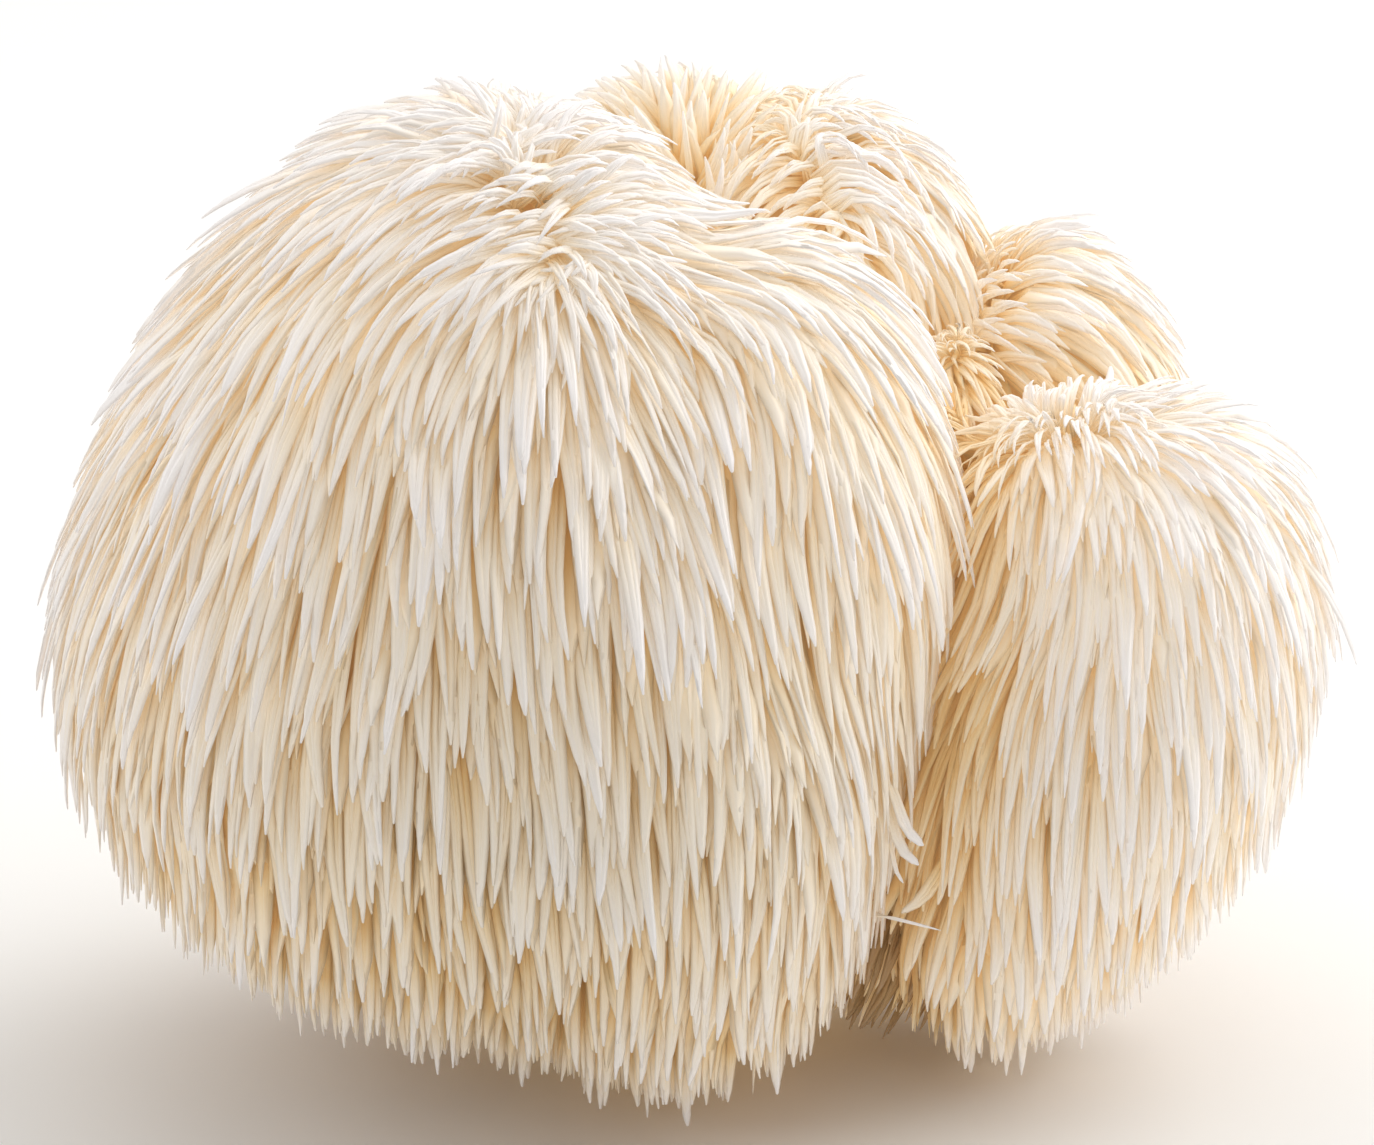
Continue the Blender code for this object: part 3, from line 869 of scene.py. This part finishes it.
def spine_finish(name, lightness, shade):
    """Soft waxy strands: honey deep in the coat, partly painted shade there, cream along the middle and
    pinkish white at the tip, with a painted glow.
    """
    finish = Finish(name)
    around, along, _ = finish.parts_of(finish.node("ShaderNodeUVMap", {"uv_map": "strand"}))
    tone = finish.own("tone")
    place = finish.object_place()
    patch = finish.noise(place, PATCH_SCALE, 2.0)
    streak_at = finish.node("ShaderNodeCombineXYZ", {}, {
        0: around * STREAKS_AROUND + tone * LOCK_STREAKS[0], 1: along * STREAKS_ALONG,
        2: tone * LOCK_STREAKS[1]})
    streak = finish.noise(streak_at, 1.0, 3.0, Roughness=0.6)
    lit = painted_light_share(finish, place)
    openness = finish.own("openness")
    # Painted shade by depth between the spines, mixed with the spine's own colour along it
    ramp_at = (openness * OPENNESS_SHARE + along * (1.0 - OPENNESS_SHARE)) * lightness
    ramp_at = ramp_at + (patch - 0.5) * PATCHES + (tone - 0.5) * LOCK_TONES + (streak - 0.5) * STREAKS
    # Painted shade: the colour deepens where the painted light is least
    ramp_at = ramp_at - (1.0 - lit) * UNLIT_DEPTH
    colour = finish.node("ShaderNodeValToRGB", {"stops": SPINE_COLOURS}, {0: ramp_at})
    fine = finish.noise(streak_at, FINE_STREAKS, 2.0)
    height = streak * (1.0 - FINE_STREAKS_SHARE) + fine * FINE_STREAKS_SHARE
    # Painted shade: spines in the shade are mixed towards the shaded colour
    finish.set(Base_Color=finish.mix(shade, colour, SHADED_FLESH), Specular_IOR_Level=SPINE_SHEEN)
    finish.set(Roughness=SPINE_ROUGHNESS[0] - streak * SPINE_ROUGHNESS[1])
    finish.set(Normal=finish.bump(0.4, SPINE_RELIEF, height))
    # Painted glow: warm deep between the spines, pale at the tips, and more where the painted light is
    # greater
    glow = finish.mix(ramp_at.clipped(), DEEP_PAINTED_GLOW, TIP_PAINTED_GLOW)
    glow_share = lit * (openness * GLOW_SPREAD + GLOW_SPREAD).clipped()
    finish.set(Emission_Color=finish.mix(glow_share, NO_LIGHT, glow))
    finish.set(Emission_Strength=PAINTED_GLOW_STRENGTH * (1.0 - shade))
    return finish.material


def painted_light_share(finish, place):
    """How much painted light there is at each place: least in the middle of the big head, more beside and
    above and below it.
    """
    right, _, up = finish.parts_of(place)
    beside = (right - DULL_PLACE[0]).without_sign()
    above = (up - DULL_PLACE[1]).without_sign()
    return (beside * LIT_BESIDE + above * LIT_ABOVE + LEAST_LIT).clipped()


def core_finish():
    """The inner flesh: orange brown between the spines, grained on the stub and spongy on the cut, with a
    painted glow.
    """
    finish = Finish("core_flesh")
    place = finish.object_place()
    _, _, up = finish.parts_of(place)
    sponge = finish.noise(place, SPONGE_SCALE, 4.0, Roughness=0.6)
    blotch = finish.noise(place, BLOTCH_SCALE, 3.0)
    stretched = finish.node("ShaderNodeVectorMath", {"operation": "MULTIPLY"}, {0: place, 1: GRAIN_STRETCH})
    grain = finish.noise(stretched, GRAIN_SCALE, 3.0)
    hidden = finish.mix((blotch + (sponge - 0.5) * 0.5).clipped(), *HIDDEN_FLESH)
    stub = finish.mix((grain * 1.2 + blotch * 0.5 - 0.3).clipped(), *STUB_FLESH)
    cut = finish.mix(sponge, *CUT_FLESH)
    flesh = finish.mix((STUB_FADE[0] - up * STUB_FADE[1]).clipped(), hidden, stub)
    flesh = finish.mix((CUT_FADE[0] - up * CUT_FADE[1]).clipped(), flesh, cut)
    finish.set(Base_Color=flesh, Roughness=CORE_ROUGHNESS)
    finish.set(Normal=finish.bump(0.6, SPONGE_RELIEF, sponge))
    # Painted glow on the flesh, following the painted light by place
    finish.set(Emission_Color=finish.mix(painted_light_share(finish, place), NO_LIGHT, DEEP_PAINTED_GLOW))
    finish.set(Emission_Strength=PAINTED_GLOW_STRENGTH)
    return finish.material


def dress(pieces, material):
    for piece in pieces:
        piece.data.materials.clear()
        piece.data.materials.append(material)
        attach(piece, "root")
        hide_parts(NODE)


def studio_floor():
    deselect_all()
    bpy.ops.mesh.primitive_plane_add(size=FLOOR_SIZE, location=(0, 0, 0))
    floor = bpy.context.active_object
    floor.name = "studio_floor"
    paper = Finish("white_paper")
    paper.set(Base_Color=FLOOR_PAPER, Roughness=0.9)
    floor.data.materials.append(paper.material)


def studio_light():
    room = bpy.data.worlds.new("white_studio")
    room.use_nodes = True
    room.node_tree.nodes["Background"].inputs["Color"].default_value = ROOM_LIGHT
    room.node_tree.nodes["Background"].inputs["Strength"].default_value = ROOM_STRENGTH
    bpy.context.scene.world = room
    for name in LAMPS:
        soft_lamp(name)


def soft_lamp(name):
    place, size, power = LAMPS[name]
    lamp = bpy.data.lights.new(name, "AREA")
    lamp.shape = "DISK"
    lamp.size = size
    lamp.energy = power
    lamp.color = LAMP_COLOUR
    light = bpy.data.objects.new(name, lamp)
    light.location = place
    aim = Vector(LAMP_TARGET) - light.location
    light.rotation_euler = aim.to_track_quat("-Z", "Y").to_euler()
    bpy.context.scene.collection.objects.link(light)


def photo_camera():
    lens = bpy.data.cameras.new("photo_camera")
    lens.sensor_width = SENSOR
    lens.lens = LENS
    lens.clip_start = NEAREST_SEEN
    camera = bpy.data.objects.new("photo_camera", lens)
    tilt = math.radians(VIEW_ELEVATION)
    target = Vector(VIEW_TARGET)
    camera.location = target + VIEW_DISTANCE * Vector((0, -math.cos(tilt), math.sin(tilt)))
    camera.rotation_euler = (math.radians(90 - VIEW_ELEVATION), 0, 0)
    bpy.context.scene.collection.objects.link(camera)
    bpy.context.scene.camera = camera


def main():
    heads = [Head(name) for name in HEADS]
    lobes = [lobe for head in heads for lobe in head.lobes]
    photo_camera()
    studio_light()
    studio_floor()
    core = flesh_core(lobes)
    dress([core], core_finish())
    dress(grow_spines(heads, heads, UNDER_COAT), spine_finish("inner_spine_flesh", *INNER_SPINES))
    heel = [head for head in heads if head.name == HEEL]
    others = [head for head in heads if head.name != HEEL]
    dress(grow_spines(others, heads, OUTER_COAT), spine_finish("spine_flesh", *OUTER_SPINES))
    # The heel's spines carry painted shade
    dress(grow_spines(heel, heads, OUTER_COAT), spine_finish("shaded_spine_flesh", *HEEL_SPINES))
    bpy.context.scene.view_settings.view_transform = "Standard"


main()
